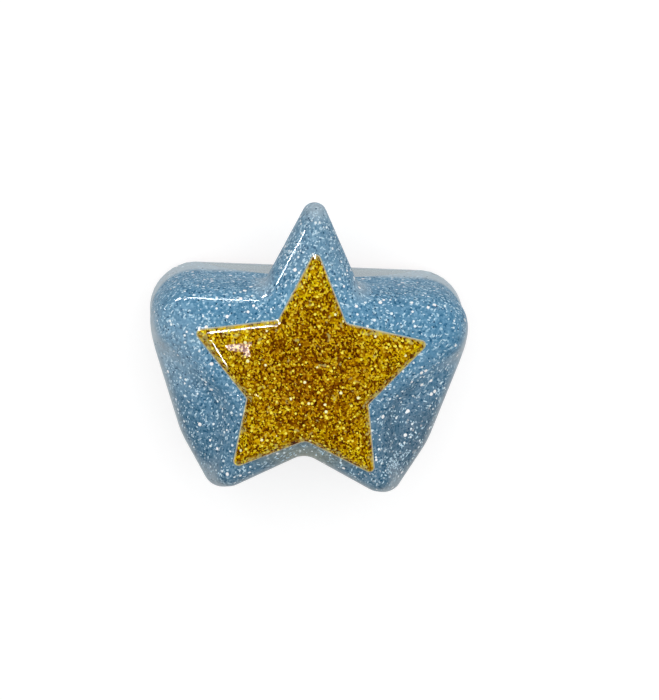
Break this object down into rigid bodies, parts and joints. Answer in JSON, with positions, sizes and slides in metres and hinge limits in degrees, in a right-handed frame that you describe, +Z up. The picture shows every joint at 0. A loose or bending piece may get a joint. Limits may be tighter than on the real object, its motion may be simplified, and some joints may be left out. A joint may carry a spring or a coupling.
{
  "type": "rubber stamp",
  "caption": "Hand stamp with a star-shaped cast glitter-resin handle, a gold star inlay, a foam cushion and a rubber die.",
  "frame": {"origin": "on the die's printing face, straight below the middle of the gold star", "axes": "+Z up through the handle to the star's face, +Y towards the star's long top point, +X to the right seen from above with the point away"},
  "size_m": [0.045, 0.0411, 0.0269],
  "materials": {
    "blue_glitter_resin": "glossy cast resin, pale blue with silver glitter",
    "gold_glitter_resin": "glossy cast resin, dense gold glitter",
    "clear_resin": "clear glossy cast resin with a faint grey-blue tint",
    "adhesive_film": "thin double-sided film",
    "cushion_foam": "matt closed-cell foam",
    "die_rubber": "matt moulded rubber"
  },
  "bodies": {
    "root": {"handle": "blue_glitter_resin", "star_inlay": "gold_glitter_resin", "clear_base": "clear_resin", "cushion_adhesive": "adhesive_film", "foam_cushion": "cushion_foam", "die_adhesive": "adhesive_film", "rubber_die": "die_rubber"}
  },
  "joints": []
}
